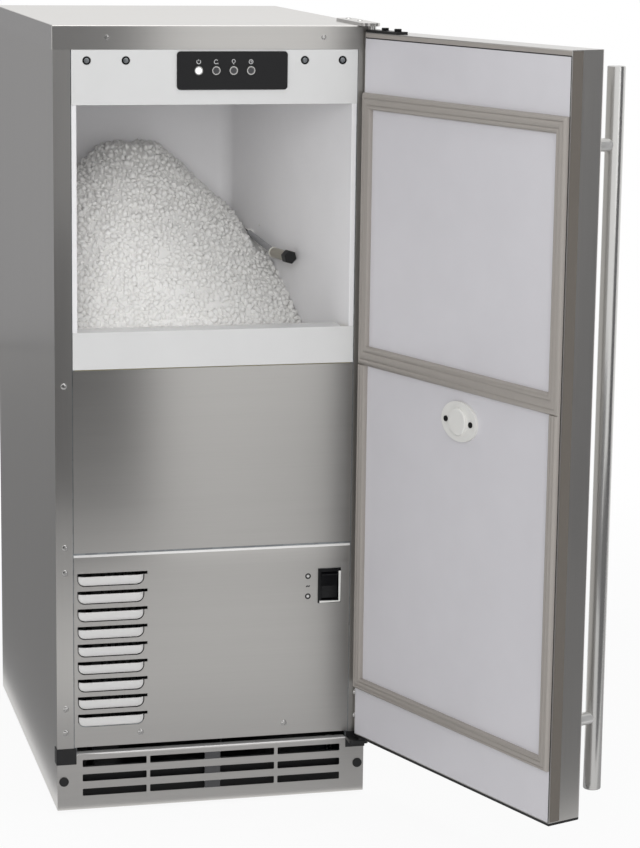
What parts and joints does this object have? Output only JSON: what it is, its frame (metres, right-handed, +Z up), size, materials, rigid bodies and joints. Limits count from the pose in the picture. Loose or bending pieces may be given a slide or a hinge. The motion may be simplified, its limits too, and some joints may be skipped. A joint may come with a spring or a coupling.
{
  "type": "ice maker",
  "caption": "Free-standing stainless-steel ice maker with an open right-hinged door, a white bin heaped with ice, a button fascia, a louvred service panel and a slotted kick grille.",
  "frame": {"origin": "on the floor under the middle of the cabinet, at the centre of the four feet", "axes": "+X to the right as seen from the front, +Y to the back, +Z up; the front faces -Y"},
  "size_m": [0.545, 0.8605, 0.8971],
  "materials": {
    "brushed_stainless": "satin",
    "polished_stainless": "polished",
    "galvanised_steel": "matte",
    "white_plastic": "gloss",
    "black_plastic": "matte",
    "black_gloss": "gloss",
    "button_clear": "gloss",
    "black_steel": "satin",
    "foam": "matte",
    "gasket_grey": "matte",
    "ice": "gloss",
    "sensor_steel": "satin",
    "circuit_board": "satin",
    "food_plastic": "satin",
    "cast_aluminium": "matte",
    "column_steel": "satin",
    "foot_steel": "satin"
  },
  "bodies": {
    "cabinet": {"top_cover": "brushed_stainless", "left_side_panel": "brushed_stainless", "right_side_panel": "brushed_stainless", "rear_panel": "galvanised_steel", "base_pan": "black_steel", "inner_frame": "galvanised_steel", "kick_grille": "brushed_stainless", "kick_plugs": "black_plastic", "corner_cap": "black_plastic", "middle_panel": "brushed_stainless", "service_panel": "brushed_stainless", "case_screws": "polished_stainless", "fascia": "white_plastic", "fascia_screws": "black_steel", "control_panel": "black_gloss", "control_board": "circuit_board", "switch_housing": "black_plastic", "bin_liner": "white_plastic", "bin_insulation": "foam", "bin_sill": "white_plastic", "ice_charge": "ice", "sensor_tube": "sensor_steel", "sensor_cap": "black_plastic", "ice_chute": "food_plastic", "hinge_plate": "brushed_stainless", "hinge_pins": "polished_stainless", "lower_hinge_bracket": "black_steel", "gearmotor": "cast_aluminium", "evaporator": "column_steel", "extruder_head": "column_steel", "water_reservoir": "food_plastic", "water_inlet_valve": "food_plastic", "drain_tube": "food_plastic", "cord_gland": "black_plastic", "compressor": "black_steel", "condenser": "cast_aluminium", "fan_motor": "black_steel"},
    "door": {"door_pan": "brushed_stainless", "door_liner": "white_plastic", "door_foam": "foam", "door_bottom_strip": "black_plastic", "upper_gasket": "gasket_grey", "lower_gasket": "gasket_grey", "magnet_housing": "white_plastic", "door_screws": "black_steel", "hinge_bushes": "black_steel", "handle_bar": "polished_stainless", "handle_posts": "polished_stainless"},
    "power_button": {"power_button": "button_clear"},
    "clean_button": {"clean_button": "button_clear"},
    "light_button": {"light_button": "button_clear"},
    "delay_button": {"delay_button": "button_clear"},
    "power_rocker": {"power_rocker": "black_gloss"},
    "fan_blade": {"fan_blade": "black_plastic"},
    "auger": {"auger": "column_steel"},
    "float_arm": {"float_arm": "food_plastic"},
    "front_left_foot": {"front_left_foot": "foot_steel"},
    "front_right_foot": {"front_right_foot": "foot_steel"},
    "rear_left_foot": {"rear_left_foot": "foot_steel"},
    "rear_right_foot": {"rear_right_foot": "foot_steel"}
  },
  "joints": [
    {"name": "door_hinge", "type": "hinge", "parent": "cabinet", "child": "door", "pos_m": [0.1735, -0.2635, 0.48], "axis": [0, 0, 1], "range_deg": [-110, 5]},
    {"name": "power_rocker_tilt", "type": "hinge", "parent": "cabinet", "child": "power_rocker", "pos_m": [0.136, -0.245, 0.254], "axis": [1, 0, 0], "range_deg": [-16, 0]},
    {"name": "power_button_press", "type": "slide", "parent": "cabinet", "child": "power_button", "axis": [0, 1, 0], "range_m": [0, 0.0008], "stiffness_N_per_m": 500, "springref_m": -0.0005},
    {"name": "clean_button_press", "type": "slide", "parent": "cabinet", "child": "clean_button", "axis": [0, 1, 0], "range_m": [0, 0.0008], "stiffness_N_per_m": 500, "springref_m": -0.0005},
    {"name": "light_button_press", "type": "slide", "parent": "cabinet", "child": "light_button", "axis": [0, 1, 0], "range_m": [0, 0.0008], "stiffness_N_per_m": 500, "springref_m": -0.0005},
    {"name": "delay_button_press", "type": "slide", "parent": "cabinet", "child": "delay_button", "axis": [0, 1, 0], "range_m": [0, 0.0008], "stiffness_N_per_m": 500, "springref_m": -0.0005},
    {"name": "fan_spin", "type": "hinge", "parent": "cabinet", "child": "fan_blade", "pos_m": [-0.058, -0.143, 0.18325], "axis": [0, 1, 0], "continuous": true},
    {"name": "auger_spin", "type": "hinge", "parent": "cabinet", "child": "auger", "pos_m": [-0.045, 0.186, 0.6], "axis": [0, 0, 1], "continuous": true},
    {"name": "float_swing", "type": "hinge", "parent": "cabinet", "child": "float_arm", "pos_m": [0.095, 0.17, 0.6565], "axis": [1, 0, 0], "range_deg": [-25, 12], "stiffness_Nm_per_rad": 0.012, "springref_deg": 12.61},
    {"name": "front_left_foot_level", "type": "slide", "parent": "cabinet", "child": "front_left_foot", "axis": [0, 0, -1], "range_m": [0, 0.02]},
    {"name": "front_right_foot_level", "type": "slide", "parent": "cabinet", "child": "front_right_foot", "axis": [0, 0, -1], "range_m": [0, 0.02]},
    {"name": "rear_left_foot_level", "type": "slide", "parent": "cabinet", "child": "rear_left_foot", "axis": [0, 0, -1], "range_m": [0, 0.02]},
    {"name": "rear_right_foot_level", "type": "slide", "parent": "cabinet", "child": "rear_right_foot", "axis": [0, 0, -1], "range_m": [0, 0.02]}
  ]
}
